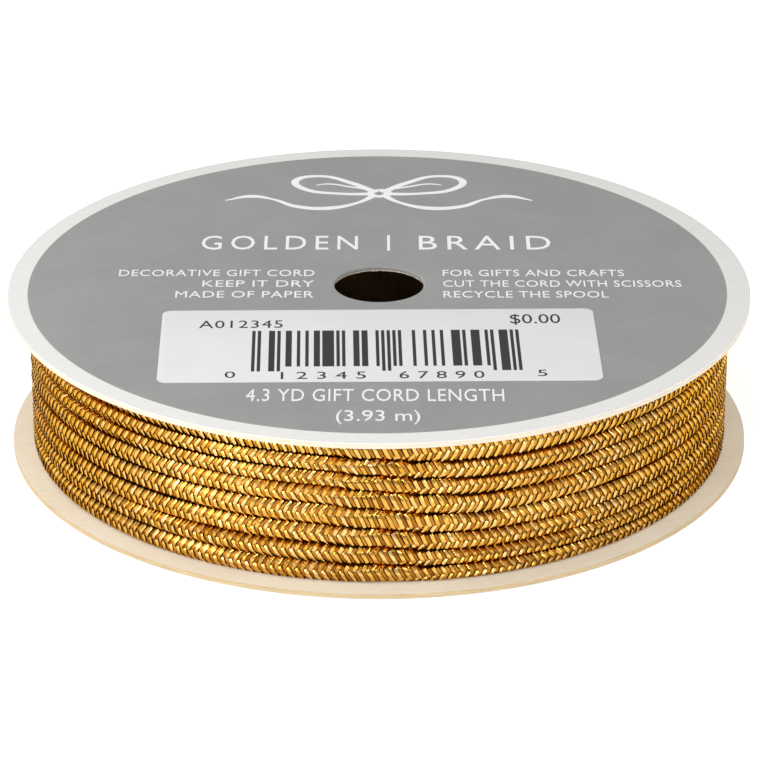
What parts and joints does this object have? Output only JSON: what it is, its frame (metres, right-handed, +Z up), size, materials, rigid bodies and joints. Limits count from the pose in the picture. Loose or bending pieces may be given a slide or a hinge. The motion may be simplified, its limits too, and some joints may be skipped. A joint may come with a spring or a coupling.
{
  "type": "ribbon spool",
  "caption": "Round flat paperboard spool wound with a braided metallic gold cord ribbon, with a printed paper face, a price label and a liftable cord end.",
  "frame": {"origin": "on the spool's axis at its lowest face, where it rests on a table", "axes": "+Z up along the spool's axis, out of the printed face; -Y towards the reader of the print"},
  "size_m": [0.0888, 0.0888, 0.0195],
  "materials": {
    "printed_paper": "satin grey print with a white rim",
    "plain_paper": "matte white",
    "paperboard": "matte cream",
    "label_paper": "semi-gloss white",
    "glue": "dull amber adhesive",
    "gold_cord": "braided bright metallic gold strips",
    "clear_tape": "clear glossy film"
  },
  "bodies": {
    "spool": {"bottom_facing": "plain_paper", "bottom_board": "paperboard", "top_board": "paperboard", "top_facing": "printed_paper", "core_tube": "paperboard", "bottom_glue_ring": "glue", "top_glue_ring": "glue", "start_tape": "clear_tape", "price_label": "label_paper", "ribbon": "gold_cord"},
    "free_end": {"ribbon_tail": "gold_cord", "end_tape": "clear_tape"}
  },
  "joints": [
    {"name": "end_lift", "type": "hinge", "parent": "spool", "child": "free_end", "pos_m": [0.01555, 0.04, 0.0097], "axis": [0, 0, -1], "range_deg": [0, 40]}
  ]
}
